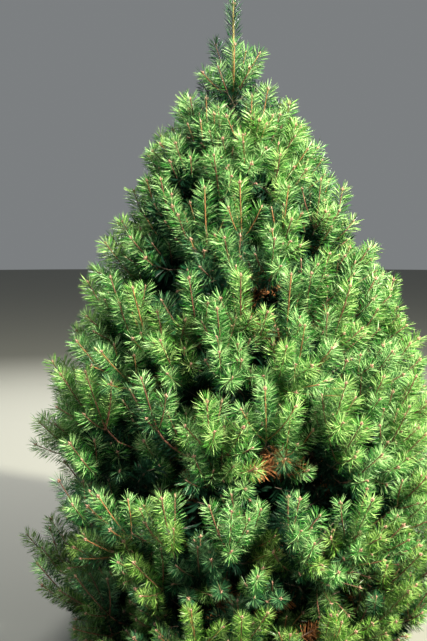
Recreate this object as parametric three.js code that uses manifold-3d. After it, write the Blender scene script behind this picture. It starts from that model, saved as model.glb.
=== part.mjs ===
// A young Scots pine, about 2.4 m tall and 1.7 m across, with foliage down to the ground.
// One trunk runs from a flat cut at ground level to the tip of the leading shoot.
// Whorls of boughs leave it a year's growth apart. Each bough carries one mass of foliage: a stem
// that bears twigs, each with bottle-brush sprays of needles that point out and up.
// Millimetres, +Z up, the tree's front is -Y, the origin is on the ground under the trunk.

import * as THREE from "three";
import { mergeVertices } from "three/addons/utils/BufferGeometryUtils.js";
import Module from "manifold-3d";

const wasm = await Module();
wasm.setup();

// Trunk
const TRUNK_TIP_AT = 2362;
const TRUNK_FOOT_RADIUS = 38;
const TRUNK_TIP_RADIUS = 3;
const TRUNK_TAPER = 1.1;
const TRUNK_LEAN = -17;
const TRUNK_BEND = 7;
const TRUNK_SIDES = 10;
const TRUNK_RINGS = 13;
const RINGS_CROWD_DOWN = 1.35;
const ROOT_FLARE = 0.42;
const ROOT_FLARE_HEIGHT = 55;
const ROOT_LOBE = 0.16;

// Crown outline: widest near the ground, an ogive above, a rounded belly below
const CROWN_RADIUS = 835;
const WIDEST_AT = 450;
const CROWN_POINT = 2300;
const CROWN_CURVE = 1.62;
const BELLY_DEPTH = 620;
const FULLER_SIDE = 0.03;
const FULLER_AT = 1180;
const FULLER_SPAN = 420;

// Whorls, one for each year's growth
const FIRST_WHORL = 172;
const YEAR_GROWTH = 308;
const SHOOT_RISE = 100;
const RISE_STEP = 22;
const BOUGH_WHORLS = [5, 5, 5, 5, 4];
const TWIG_WHORLS = [5];
const TOP_WHORL = BOUGH_WHORLS.length + TWIG_WHORLS.length;
const TOP_SHOOTS = 5;
const FIRST_TURN = THREE.MathUtils.degToRad(54);
const WHORL_TURN = THREE.MathUtils.degToRad(245);
const TOP_TURN = THREE.MathUtils.degToRad(200);
const WHORL_SPREAD = 16;
const LOWEST_CONE = THREE.MathUtils.degToRad(13);
const CONE_STEP = THREE.MathUtils.degToRad(7.6);

// Boughs
const BOUGH_REACH = 0.4;
const BOUGH_END_HEIGHT = 0.42;
const BOUGH_LIFT = 18;
const BOUGH_SAG = 0.12;
const BOUGH_TO_TRUNK = 0.34;
const BOUGH_TIP_RADIUS = 7;
const BOUGH_SIDES = 5;
const BOUGH_STEPS = 3;

// Foliage masses
const COLUMNS = [4, 4, 4, 4, 4, 2];
const ROWS = [0.19, 0.85];
const FORK_BACK = 205;
const FORK_BACK_MOST = 0.45;
const FORK_HEIGHT = 0.12;
const LOWEST_FORK_HEIGHT = 0.24;
const FORK_SCATTER = 24;
const STEM_SHARE = 0.9;
const STEM_BEND_AT = 0.4;
const FIRST_TWIG_AT = 0.2;
const LAST_TWIG_AT = 0.96;
const STEM_END_RADIUS = 6;
const STEM_SIDES = 4;
const STEM_STEPS = 2;
const TWIG_ROOT_RADIUS = 3;
const TWIG_RADIUS = 4;
const SIDE_ROOT_RADIUS = 2;
const SPRAY_RADIUS = 50;
const SPRAY_CORE = 6;
const SPRAY_SWEEP = 34;
const SPRAY_TIERS = [0.8, 1, 0.75];
const TIER_PLACES = [0.32, 0.57, 0.82];
const SIDE_SPRAY_AT = 0.7;
const SHORTEST_SPRAY = 110;
const TIP_SCATTER = 60;
const ROW_SHIFT = 0.56;
const SIDE_SCATTER = 1;
const REACH_SCATTER = 0.1;
const TRIES = 24;

// Top of the tree
const TOP_SHOOT_LENGTHS = [155, 200, 180, 212, 235];
const TOP_SHOOT_LEANS = [56, 30, 38, 28, 30].map(THREE.MathUtils.degToRad);
const TOP_STAGGER = 6;
const TOP_SPRAY_RADIUS = 31;
const LEADER_FOOT = 2105;
const LEADER_TIP = 2400;
const LEADER_BUD = 46;
const LEADER_RADIUS = 34;
const LEADER_END_SHARE = 0.82;
const LEADER_TIERS = 7;
const LEADER_WALL = 5;

// Clearances, and the width under which a face is a sliver
const SLIVER = 0.1;
const TOUCH = 0.3;
const LIMB_CLEAR = 1.5;
const SPRAY_CLEAR = 1;
const SPACE_CLEAR = 4;
const GROUND_CLEAR = 6;

const UP = new THREE.Vector3(0, 0, 1);
const TURN = Math.PI * 2;

// A repeatable run of numbers from 0 to 1
function seeded(seed) {
  let state = (seed * 7919 + 104729) % 2147483647;
  const next = () => {
    state = (state * 48271) % 2147483647;
    return state / 2147483647;
  };
  next();
  next();
  return next;
}

function polar(radius, azimuth, z) {
  return new THREE.Vector3(radius * Math.cos(azimuth), radius * Math.sin(azimuth), z);
}

function mix(a, b, share) {
  return a + (b - a) * share;
}

// Trunk axis and radius

function trunkAxis(z) {
  const share = z / TRUNK_TIP_AT;
  return new THREE.Vector3(
    TRUNK_LEAN * share ** 3 + TRUNK_BEND * Math.sin(share * 7),
    TRUNK_BEND * Math.sin(share * 5 + 2) - TRUNK_BEND * Math.sin(2),
    z,
  );
}

function trunkRadius(z) {
  const left = Math.max(0, 1 - z / TRUNK_TIP_AT);
  return mix(TRUNK_TIP_RADIUS, TRUNK_FOOT_RADIUS, left ** TRUNK_TAPER);
}

// Crown outline and the layers that the whorls fill

function crownRadius(z, azimuth) {
  const shape =
    z < WIDEST_AT
      ? Math.sqrt(1 - ((WIDEST_AT - z) / BELLY_DEPTH) ** 2)
      : 1 - Math.min(1, (z - WIDEST_AT) / (CROWN_POINT - WIDEST_AT)) ** CROWN_CURVE;
  const fuller = FULLER_SIDE * Math.cos(azimuth) * Math.exp(-(((z - FULLER_AT) / FULLER_SPAN) ** 2));
  return CROWN_RADIUS * shape * (1 + fuller);
}

function whorlHeight(layer) {
  return FIRST_WHORL + layer * YEAR_GROWTH;
}

// The cone between a layer and the next one up: its slope, and its height at a radius
function coneSlope(layer) {
  return Math.tan(LOWEST_CONE + layer * CONE_STEP);
}

function edgeHeight(layer) {
  return layer < 0 ? GROUND_CLEAR : whorlHeight(layer) + YEAR_GROWTH / 2 + SHOOT_RISE + RISE_STEP * layer;
}

function coneAt(layer, radius, azimuth) {
  if (layer < 0) return GROUND_CLEAR;
  const edge = edgeHeight(layer);
  return edge - coneSlope(layer) * (crownRadius(edge, azimuth) - radius);
}

// A mass's own space: a sector of its layer, between two upright planes and two cones
function inSpace(point, mass) {
  const radius = Math.hypot(point.x, point.y);
  const away = Math.atan2(point.y, point.x) - mass.azimuth;
  const turned = Math.abs(Math.atan2(Math.sin(away), Math.cos(away)));
  const toPlane = radius * Math.sin(Math.min(Math.PI / 2, mass.half - turned));
  if (turned > mass.half || toPlane < SPACE_CLEAR) return false;
  const low = coneAt(mass.layer - 1, radius, mass.azimuth);
  const high = coneAt(mass.layer, radius, mass.azimuth);
  return point.z > low + SPACE_CLEAR && point.z < high - SPACE_CLEAR;
}

// Surfaces: rings of points, each ring joined to the next, a ring of one point being a tip

function closedSurface(rings) {
  const points = [];
  const starts = rings.map((ring) => {
    const start = points.length;
    points.push(...ring);
    return start;
  });
  const faces = [];
  const cap = (start, count, outward) => {
    for (let j = 1; j < count - 1; j += 1) {
      faces.push(...(outward ? [start, start + j, start + j + 1] : [start, start + j + 1, start + j]));
    }
  };
  rings.slice(1).forEach((upper, i) => {
    const lower = rings[i];
    const low = starts[i];
    const high = starts[i + 1];
    const count = upper.length;
    for (let j = 0; j < count; j += 1) {
      const k = (j + 1) % count;
      if (lower.length * 2 === count) {
        const foot = low + Math.floor(j / 2);
        const nextFoot = low + (Math.floor(k / 2) % lower.length);
        if (j % 2 === 0) faces.push(foot, high + k, high + j);
        else faces.push(foot, nextFoot, high + j, nextFoot, high + k, high + j);
      } else if (lower.length > 1 && count > 1) {
        if ((j + i) % 2 === 0) faces.push(low + j, low + k, high + j, low + k, high + k, high + j);
        else faces.push(low + j, low + k, high + k, low + j, high + k, high + j);
      }
    }
    if (count === 1) {
      lower.forEach((_, j) => faces.push(low + j, low + ((j + 1) % lower.length), high));
    }
  });
  cap(starts[0], rings[0].length, false);
  cap(starts.at(-1), rings.at(-1).length, true);
  const geometry = new THREE.BufferGeometry().setFromPoints(points);
  geometry.setIndex(faces);
  return geometry;
}

function solidFrom(geometry) {
  const merged = mergeVertices(geometry, 1e-4);
  return new wasm.Manifold(
    new wasm.Mesh({
      numProp: 3,
      vertProperties: merged.attributes.position.array,
      triVerts: new Uint32Array(merged.index.array),
    }),
  );
}

// The outer shell alone: a hollow that joining sealed is filled, and a loose scrap is dropped
function wholeShell(solid) {
  return solid.decompose().reduce((best, body) => (body.volume() > best.volume() ? body : best));
}

function geometryFrom(solid) {
  const mesh = solid.getMesh();
  const geometry = new THREE.BufferGeometry();
  geometry.setAttribute("position", new THREE.BufferAttribute(mesh.vertProperties, 3));
  geometry.setIndex(new THREE.BufferAttribute(mesh.triVerts, 1));
  geometry.computeVertexNormals();
  return geometry;
}

// Two directions square to a tangent, which turn little along a limb
function across(tangent, guide) {
  const side = new THREE.Vector3().crossVectors(guide, tangent).normalize();
  return [side, new THREE.Vector3().crossVectors(tangent, side)];
}

function guideFor(direction) {
  return Math.abs(direction.z) > 0.9 * direction.length() ? new THREE.Vector3(0, 1, 0) : UP;
}

function ringAt(centre, tangent, guide, radii) {
  const [side, rise] = across(tangent, guide);
  return radii.map((radius, j) => {
    const angle = (TURN * j) / radii.length;
    return centre
      .clone()
      .addScaledVector(side, radius * Math.cos(angle))
      .addScaledVector(rise, radius * Math.sin(angle));
  });
}

// A tapering limb along a curve
function limb(curve, rootRadius, tipRadius, sides, steps) {
  const guide = guideFor(curve.getPoint(1).sub(curve.getPoint(0)));
  const rings = Array.from({ length: steps + 1 }, (_, i) => {
    const share = i / steps;
    const radius = mix(rootRadius, tipRadius, share);
    return ringAt(curve.getPoint(share), curve.getTangent(share), guide, Array(sides).fill(radius));
  });
  return solidFrom(closedSurface(rings));
}

// A point on the straight stretches between a limb's rings
function onLimb(curve, steps, share) {
  const step = Math.min(steps - 1, Math.floor(share * steps));
  return curve.getPoint(step / steps).lerp(curve.getPoint((step + 1) / steps), share * steps - step);
}

// A spray: a slim core with tiers of three needle tufts that are swept towards its tip. It stands
// on a stalk whose root is sunk in the wood that carries it, with a bend at the neck where it has one.
function shoot({ root, rootRadius, neck, tip, radius, roll }) {
  const start = neck ?? root;
  const axis = tip.clone().sub(start);
  const length = axis.length();
  const tangent = axis.clone().divideScalar(length);
  const guide = across(tangent, guideFor(tangent))[1].applyAxisAngle(tangent, roll);
  const tiers = SPRAY_TIERS.map((share, tier) => {
    const centre = start.clone().addScaledVector(tangent, length * TIER_PLACES[tier]);
    const core = SPRAY_CORE * (1 - tier / (2 * SPRAY_TIERS.length));
    const isTuft = (j) => j % 2 !== tier % 2;
    const radii = Array.from({ length: 6 }, (_, j) => (isTuft(j) ? share * radius : core));
    return ringAt(centre, tangent, guide, radii).map((point, j) =>
      isTuft(j) ? point.addScaledVector(tangent, SPRAY_SWEEP) : point,
    );
  });
  const leaving = neck ? neck.clone().sub(root).normalize() : tangent;
  const stalk = [ringAt(root, leaving, guide, Array(3).fill(rootRadius))];
  if (neck) stalk.push(ringAt(neck, tangent, guide, Array(3).fill(TWIG_RADIUS)));
  return {
    points: [root, ...tiers.flat(), tip],
    tufts: solidFrom(closedSurface([...tiers, [tip]])),
    whole: solidFrom(closedSurface([...stalk, ...tiers, [tip]])),
  };
}

// Whether a solid comes too near to any of those already in place
function touches(solid, others, clear) {
  const { min, max } = solid.boundingBox();
  return others.some(({ solid: other, box }) => {
    const isApart = (low, axis) => low > box.max[axis] + clear || max[axis] < box.min[axis] - clear;
    const apart = min.some(isApart);
    return !apart && solid.minGap(other, clear + 1) < clear;
  });
}

function boxed(solid) {
  return { solid, box: solid.boundingBox() };
}

// Where a column's twig forks, in a mass's sector and behind the crown's outline
function forkPoint(mass, offset, random) {
  const azimuth = mass.azimuth + offset * mass.half;
  const low = edgeHeight(mass.layer - 1);
  const high = edgeHeight(mass.layer);
  const back = Math.min(FORK_BACK, FORK_BACK_MOST * crownRadius((low + high) / 2, azimuth));
  const height = mass.layer === 0 ? LOWEST_FORK_HEIGHT : FORK_HEIGHT;
  const z = mix(low, high, height) + (random() - 0.5) * FORK_SCATTER;
  return polar(crownRadius(mix(low, high, 0.5), azimuth) - back, azimuth, z);
}

// Where a spray ends, on the crown's outline
function tipPoint(mass, offset, row, columns, random) {
  const aside = (row > 0.5 ? -ROW_SHIFT : ROW_SHIFT) + (random() - 0.5) * SIDE_SCATTER;
  const azimuth = mass.azimuth + (offset + aside / columns) * mass.half;
  const low = edgeHeight(mass.layer - 1);
  const high = edgeHeight(mass.layer);
  const z = mix(low, high, row) + (random() - 0.5) * TIP_SCATTER;
  return polar(crownRadius(z, azimuth) * (1 + (random() - 0.5) * REACH_SCATTER), azimuth, z);
}

// A mass of foliage: twigs leave the stem in turn, and each ends in a spray and bears another
function growMass(mass, stemCurve, stemRadius, limbs) {
  const random = seeded(mass.seed);
  const stem = limb(stemCurve, stemRadius, STEM_END_RADIUS, STEM_SIDES, STEM_STEPS);
  const placed = [];
  const columns = COLUMNS[mass.layer];

  // The first of several tries that keeps to the mass's space and touches nothing it shouldn't
  const place = (offset, row, stalkFor) => {
    let found = null;
    for (let attempt = 0; attempt < TRIES; attempt += 1) {
      const stalk = stalkFor();
      const tip = tipPoint(mass, offset, row, columns, random);
      const roll = random() * TURN;
      if (found || tip.distanceTo(stalk.neck ?? stalk.root) < SHORTEST_SPRAY) continue;
      const tried = shoot({ ...stalk, tip, radius: SPRAY_RADIUS, roll });
      const clear =
        tried.points.every((point) => inSpace(point, mass)) &&
        !touches(tried.whole, limbs, LIMB_CLEAR) &&
        !touches(tried.tufts, [boxed(stem), ...placed.map((spray) => spray.whole)], SPRAY_CLEAR) &&
        !touches(tried.whole, placed.map((spray) => spray.tufts), SPRAY_CLEAR);
      if (clear) found = { stalk, ...tried };
    }
    if (found) placed.push({ whole: boxed(found.whole), tufts: boxed(found.tufts) });
    return found;
  };

  for (let column = 0; column < columns; column += 1) {
    const offset = ((column + 0.5) / columns) * 2 - 1;
    const leaves = onLimb(stemCurve, STEM_STEPS, mix(LAST_TWIG_AT, FIRST_TWIG_AT, Math.abs(offset)));
    const [endRow, sideRow] = column % 2 ? [...ROWS].reverse() : ROWS;
    const end = place(offset, endRow, () => ({
      root: leaves,
      rootRadius: TWIG_ROOT_RADIUS,
      neck: forkPoint(mass, offset, random),
    }));
    if (!end) continue;
    const forks = leaves.clone().lerp(end.stalk.neck, SIDE_SPRAY_AT);
    place(offset, sideRow, () => ({ root: forks, rootRadius: SIDE_ROOT_RADIUS }));
  }
  return wasm.Manifold.union([stem, ...placed.map((spray) => spray.whole.solid)]).simplify(SLIVER);
}

// Named pieces

const bark = new THREE.MeshStandardMaterial({ color: 0x6b4a34, roughness: 0.9, metalness: 0 });
const shootBark = new THREE.MeshStandardMaterial({ color: 0x8a5a30, roughness: 0.8, metalness: 0 });
const needles = new THREE.MeshStandardMaterial({ color: 0x3f7a52, roughness: 0.6, metalness: 0 });

function piece(name, solid, material) {
  const mesh = new THREE.Mesh(geometryFrom(wholeShell(solid)), material);
  mesh.name = name;
  return mesh;
}

function trunkSolid(grown = 0) {
  const rings = Array.from({ length: TRUNK_RINGS + 1 }, (_, i) => {
    const z = TRUNK_TIP_AT * (i / TRUNK_RINGS) ** RINGS_CROWD_DOWN;
    const flare = Math.exp(-z / ROOT_FLARE_HEIGHT);
    const radii = Array.from({ length: TRUNK_SIDES }, (_, j) => {
      const lobe = 1 + ROOT_LOBE * flare * (j % 2 ? 1 : -1);
      return trunkRadius(z) * (1 + ROOT_FLARE * flare) * lobe + grown;
    });
    const centre = trunkAxis(z + (i === TRUNK_RINGS ? grown : 0));
    return radii.map((radius, j) => {
      const angle = (TURN * j) / TRUNK_SIDES;
      return centre.clone().add(polar(radius, angle, 0));
    });
  });
  return solidFrom(closedSurface(rings));
}

// The needles of the leading shoot: a thin sleeve of tiers, cut clear of the trunk
function leaderNeedles(trunkClear) {
  const rings = Array.from({ length: LEADER_TIERS }, (_, tier) => {
    const share = tier / (LEADER_TIERS - 1);
    const centre = trunkAxis(mix(LEADER_FOOT, LEADER_TIP - LEADER_BUD, share));
    const core = trunkRadius(centre.z) + LEADER_WALL;
    const reach = LEADER_RADIUS * mix(LEADER_END_SHARE, 1, Math.sin(share * Math.PI));
    return Array.from({ length: 6 }, (_, j) => {
      const outer = j % 2 !== tier % 2;
      const angle = (TURN * j) / 6;
      const radius = outer ? reach : core;
      return centre.clone().add(polar(radius, angle, outer ? SPRAY_SWEEP : 0));
    });
  });
  const tip = [trunkAxis(LEADER_TIP)];
  return solidFrom(closedSurface([...rings, tip])).subtract(trunkClear);
}

function boughCurve(layer, azimuth, lift) {
  const foot = trunkAxis(whorlHeight(layer) + lift);
  const low = edgeHeight(layer - 1);
  const high = edgeHeight(layer);
  const reach = BOUGH_REACH * crownRadius((low + high) / 2, azimuth);
  const under = coneAt(layer - 1, reach, azimuth);
  const over = coneAt(layer, reach, azimuth);
  const tip = polar(reach, azimuth, mix(under, over, BOUGH_END_HEIGHT));
  const bow = BOUGH_LIFT - BOUGH_SAG * Math.max(0, tip.z - foot.z);
  const knee = foot.clone().lerp(tip, 0.5).add(new THREE.Vector3(0, 0, bow));
  return new THREE.QuadraticBezierCurve3(foot, knee, tip);
}

function stemCurve(start, direction, mass) {
  const end = forkPoint(mass, 0, () => 0.5);
  const reach = start.clone().lerp(end, STEM_SHARE);
  const bend = start.clone().addScaledVector(direction, STEM_BEND_AT * start.distanceTo(reach));
  return new THREE.QuadraticBezierCurve3(start, bend, reach);
}

const tree = new THREE.Group();
const trunkClear = trunkSolid(TOUCH + 0.1);
tree.add(piece("trunk", trunkSolid(), bark));

// Boughs come first, so that every mass can be kept clear of all of them
const masses = [...BOUGH_WHORLS, ...TWIG_WHORLS].flatMap((count, layer) =>
  Array.from({ length: count }, (_, i) => {
    const random = seeded(100 * layer + i + 1);
    const azimuth = FIRST_TURN + layer * WHORL_TURN + (TURN * i) / count;
    const lift = (random() - 0.5) * WHORL_SPREAD;
    const mass = { layer, azimuth, half: Math.PI / count, seed: 31 * layer + 7 * i + 5 };
    const names = { bough: `bough_${layer + 1}_${i + 1}`, foliage: `foliage_${layer + 1}_${i + 1}` };
    return { ...mass, ...names, lift };
  }),
);
const boughs = masses
  .filter((mass) => mass.layer < BOUGH_WHORLS.length)
  .map((mass) => {
    const curve = boughCurve(mass.layer, mass.azimuth, mass.lift);
    const root = BOUGH_TO_TRUNK * trunkRadius(whorlHeight(mass.layer));
    const rootRadius = Math.max(root, BOUGH_TIP_RADIUS + 1.5);
    const solid = limb(curve, rootRadius, BOUGH_TIP_RADIUS, BOUGH_SIDES, BOUGH_STEPS).subtract(trunkClear);
    tree.add(piece(mass.bough, solid, bark));
    return { mass, curve, limb: boxed(wholeShell(solid)) };
  });
const trunkInWay = boxed(trunkSolid());
const limbsInWay = boughs.map((bough) => bough.limb);

boughs.forEach(({ mass, curve, limb: own }) => {
  const direction = curve.getTangent(1);
  const start = curve.getPoint(1).addScaledVector(direction, TOUCH);
  const others = [trunkInWay, ...limbsInWay.filter((other) => other !== own)];
  const stem = stemCurve(start, direction, mass);
  tree.add(piece(mass.foliage, growMass(mass, stem, BOUGH_TIP_RADIUS, others), needles));
});

// The youngest twig whorl has its stems straight on the trunk
masses
  .filter((mass) => mass.layer >= BOUGH_WHORLS.length)
  .forEach((mass) => {
    const start = trunkAxis(whorlHeight(mass.layer) + mass.lift);
    const direction = polar(0.8, mass.azimuth, 0.6);
    const stem = stemCurve(start, direction, mass);
    const solid = growMass(mass, stem, STEM_END_RADIUS + 0.5, limbsInWay).subtract(trunkClear);
    tree.add(piece(mass.foliage, solid, needles));
  });

// The ring of side shoots at the foot of the leading shoot
for (let i = 0; i < TOP_SHOOTS; i += 1) {
  const azimuth = TOP_TURN + (TURN * i) / TOP_SHOOTS;
  const start = trunkAxis(whorlHeight(TOP_WHORL) + TOP_STAGGER * (((2 * i) % TOP_SHOOTS) - 2));
  const lean = TOP_SHOOT_LEANS[i];
  const length = TOP_SHOOT_LENGTHS[i];
  const tip = start.clone().add(polar(length * Math.sin(lean), azimuth, length * Math.cos(lean)));
  const shape = { root: start, rootRadius: TWIG_ROOT_RADIUS, tip, radius: TOP_SPRAY_RADIUS, roll: azimuth };
  const solid = shoot(shape).whole.subtract(trunkClear);
  tree.add(piece(`top_shoot_${i + 1}`, solid, shootBark));
}
tree.add(piece("leader_needles", leaderNeedles(trunkClear), needles));

export default tree;
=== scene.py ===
"""The looks of a young Scots pine: bark, twigs, buds and needles grown over its solids.

Metres, +Z up, the tree's front is -Y, the origin is on the ground under the trunk.
The trunk, the boughs and the spaces of the foliage masses follow the solids' own rule, written
again here and carried on to finer twigs, to this year's shoots and to every needle on them.
"""

import math
from dataclasses import dataclass, field

import bpy
import numpy as np
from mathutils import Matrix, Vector, noise


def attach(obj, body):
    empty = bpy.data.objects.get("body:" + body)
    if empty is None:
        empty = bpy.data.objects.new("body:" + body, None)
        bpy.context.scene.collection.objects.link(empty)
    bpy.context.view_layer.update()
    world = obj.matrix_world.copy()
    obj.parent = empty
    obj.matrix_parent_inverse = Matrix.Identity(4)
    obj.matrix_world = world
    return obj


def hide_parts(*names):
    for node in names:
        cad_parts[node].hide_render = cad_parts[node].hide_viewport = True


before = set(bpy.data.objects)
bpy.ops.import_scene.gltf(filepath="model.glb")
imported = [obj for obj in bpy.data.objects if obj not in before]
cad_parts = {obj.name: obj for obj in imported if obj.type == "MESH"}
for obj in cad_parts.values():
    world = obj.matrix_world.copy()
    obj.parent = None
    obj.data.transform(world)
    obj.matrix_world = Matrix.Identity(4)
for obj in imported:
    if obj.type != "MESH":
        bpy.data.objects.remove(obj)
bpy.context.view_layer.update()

# Trunk, as the solids have it
TRUNK_TIP_AT = 2.362
TRUNK_FOOT_RADIUS = 0.038
TRUNK_TIP_RADIUS = 0.003
TRUNK_TAPER = 1.1
TRUNK_LEAN = -0.017
TRUNK_BEND = 0.007
BEND_ASIDE = 7
BEND_DEEP = 5
BEND_START = 2
ROOT_FLARE = 0.42
ROOT_FLARE_HEIGHT = 0.055
ROOT_LOBE = 0.16
ROOT_LOBES = 5

# Crown outline, as the solids have it
CROWN_RADIUS = 0.835
WIDEST_AT = 0.45
CROWN_POINT = 2.3
CROWN_CURVE = 1.62
BELLY_DEPTH = 0.62
FULLER_SIDE = 0.03
FULLER_AT = 1.18
FULLER_SPAN = 0.42

# What only the needles' outline has: a fuller left shoulder, and gaps between the sprays, whose sprays
# take painted shade by the gap's depth, each with its turn and half width in degrees, height, half height,
# depth and share of dead inner twigs
SHOULDER = 0.1
SHOULDER_AT = 1.92
SHOULDER_SPAN = 0.12
GAPS = [
    (188, 34, 0.58, 0.125, 0.30, 0.0),
    (190, 26, 0.20, 0.110, 0.10, 0.1),
    (236, 14, 0.32, 0.100, 0.24, 0.3),
    (233, 10, 0.88, 0.110, 0.32, 0.0),
    (252, 10, 1.52, 0.100, 0.28, 0.0),
    (271, 6, 1.22, 0.045, 0.28, 0.2),
    (265, 10, 0.81, 0.055, 0.33, 0.2),
    (266, 7, 0.46, 0.050, 0.26, 0.5),
    (271, 6, 0.63, 0.045, 0.30, 0.5),
    (277, 6, 1.32, 0.045, 0.28, 0.9),
    (290, 12, 0.84, 0.060, 0.32, 0.9),
]
DEEPEST_GAP = 0.4
GAP_FROM = 0.1

# Whorls, one for each year's growth
FIRST_WHORL = 0.172
YEAR_GROWTH = 0.308
SHOOT_RISE = 0.1
RISE_STEP = 0.022
BOUGH_WHORLS = [5, 5, 5, 5, 4]
TWIG_WHORLS = [5]
TOP_WHORL = len(BOUGH_WHORLS) + len(TWIG_WHORLS)
FIRST_TURN = math.radians(54)
WHORL_TURN = math.radians(245)
TOP_TURN = math.radians(200)
WHORL_SPREAD = 0.016
LOWEST_CONE = math.radians(13)
CONE_STEP = math.radians(7.6)
GROUND_CLEAR = 0.006

# Boughs and the stems inside the masses
BOUGH_REACH = 0.4
BOUGH_END_HEIGHT = 0.42
BOUGH_LIFT = 0.018
BOUGH_SAG = 0.12
BOUGH_TO_TRUNK = 0.34
BOUGH_TIP_RADIUS = 0.007
FORK_BACK = 0.205
FORK_BACK_MOST = 0.45
FORK_HEIGHT = 0.12
LOWEST_FORK_HEIGHT = 0.24
STEM_SHARE = 0.9
STEM_BEND_AT = 0.4
LIMB_POINTS = 12
STEM_SIDES = 8
STEM_END_RADIUS = 0.0045
STEM_OVERLAP = 0.004
HIGH_STEM_OUT = 0.8
HIGH_STEM_UP = 0.6
HIGH_STEM_THICKER = 0.0012
FIRST_TWIG_AT = 0.2
LAST_TWIG_AT = 0.96

# Branch ends: a twig of last year that ends at a node
COLUMNS = [4, 4, 4, 4, 4, 2]
ROWS = [0.19, 0.85]
ROWS_BETWEEN = [[5, 5], [5, 2], [4], [3], [2], [2, 2]]
MIDDLE_ROW = 0.52
MIDDLE_SCATTER = 0.8
MIDDLE_ROOT_BACK = 0.05
MIDDLE_REACH = (0.84, 1.0)
TIP_SCATTER = 0.06
ROW_SHIFT = 0.56
SIDE_SCATTER = 1.0
REACH_SCATTER = 0.08
DOME_ROOM = 0.012
LOWEST_NODE = 0.035
FORK_SHARE = 0.6
TWIG_BOW = 0.3
TWIG_RADIUS = 0.0036
TWIG_POINTS = 6
TWIG_NEEDLES_FROM = 0.2
GREY_SHARE = 0.5
LOW_RISE = math.radians(30)
HIGH_RISE = math.radians(68)
RISE_SOON = 0.8
STEEPEST_AT = 2.1
ROW_RISE = math.radians(9)
RISE_SCATTER = math.radians(22)
TURN_SCATTER = math.radians(26)

# This year's shoots: a main one straight on from the node, and side shoots round it
SHOOT_RADIUS = 0.0025
SHOOT_TIP_RADIUS = 0.0018
SHOOT_POINTS = 4
SHOOT_BEND_AT = 0.45
SHOOT_END_AT = 0.99
LOWEST_SHOOT = 0.03
GOLDEN_SHARE = 0.28
MAIN_SHOOT = (0.155, 0.25)
LOW_SHOOTS = 0.85
FULL_SHOOTS_AT = 1.2
MAIN_UPTURN = 0.25
MAIN_DENSITY = 1.2
SIDE_SHOOTS = 3
SIDE_SHARE = (0.62, 0.92)
SIDE_CONE = (math.radians(36), math.radians(54))
SIDE_TURN_SCATTER = 0.5
SIDE_RISE = 0.12
SIDE_AHEAD = 0.9
SIDE_UPTURN = 0.35
NODE_SPREAD = 0.012
INSIDE_MARGIN = 1.01
LOWEST_OUTLINE = 0.05
SHARES_TRIED = (1, 0.85, 0.7)
SHORTEST_SHARE = 0.55

# Side branches, from a twig's older node
BACK_BRANCHES = 1
BACK_AT = (0.42, 0.62)
BACK_CONE = (math.radians(42), math.radians(62))
BACK_TURN_SCATTER = 0.4
BACK_AHEAD = 0.7
BACK_UPTURN = 0.2
BACK_ONWARD = 0.4
BACK_TAPER = 0.85
BACK_BEND_AT = 0.5
BACK_POINTS = 3
BACK_NEEDLES_FROM = 0.1
BACK_SHARE = (0.5, 0.75)
BACK_SHOOT_SHARE = 0.75
BACK_SIDE_SHOOTS = 2
# Painted shade: the sprays of side branches take a little darker copies
BACK_TONE = 0.1
BACK_DENSITY = 0.75
BACK_LOWEST_NODE = 0.04

# Inner twigs, with old and dead needles; the old needles are near black, partly their own darker green and
# partly painted shade of the crown's inside
INNER_TWIGS = [(6, 5), (6, 4), (5, 4), (5, 4), (4, 4), (3, 3)]
INNER_DEPTH = (0.36, 0.84)
HEART_TWIGS = (4, 3)
HEART_DEPTH = (0.14, 0.34)
INNER_SWEEP = (math.radians(40), math.radians(85))
INNER_RISE = 0.35
INNER_LENGTH = (0.14, 0.24)
INNER_RADII = (0.003, 0.0016)
INNER_POINTS = 5
INNER_ROOT_FROM = 0.35
INNER_ROOT_SPAN = 0.6
INNER_LOWEST = 0.08
INNER_LOWEST_NODE = 0.06
INNER_DENSITY = 0.37
INNER_LEAN = (68, 50)
INNER_FIRST = 0.25
INNER_NEEDLE_REACH = 1.2
INNER_NEEDLE_WIDTH = 0.0076
HIGH_INNER_REACH = 0.9
HIGH_INNER_WIDER = 1.5
OLD_DENSITY = 0.5
OLD_LEAN = (64, 54)
OLD_NEEDLE_WIDTH = 0.0042
DEAD_DEPTH = 0.68
DEAD_SHARE = 0.32
DEAD_OUTWARD = 0.75
DEAD_DROP = 0.06
DEAD_LAYERS = 4
DEAD_NEEDLE_WIDTH = 0.0028
DEAD_DENSITY = 0.6

# Top of the tree
TOP_SHOOTS = 5
TOP_SHOOT_LENGTHS = [0.155, 0.2, 0.18, 0.212, 0.235]
TOP_SHOOT_LEANS = [math.radians(lean) for lean in (56, 30, 38, 28, 30)]
TOP_STAGGER = 0.006
# Painted shade on the top shoots' sprays
TOP_TONE = -0.35
TOP_UPTURN = 0.3
TOP_LEAN = (58, 50)
RING_LEAN = (math.radians(36), math.radians(54))
RING_LENGTH = (0.12, 0.16)
RING_UPTURN = 0.4
RING_DROP = 0.01
LEADER_FOOT = 2.03
LEADER_POINTS = 14
LEADER_LEAN = (44, 30)
LEADER_REACH = 1.05
LEADER_BUD = 1.25
LEADER_SIDE_BUDS = 5
UNDER_LEADER_FROM = 1.74
UNDER_LEADER_POINTS = 10
UNDER_LEADER_LEAN = (60, 50)
UNDER_LEADER_DENSITY = 1.6

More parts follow.
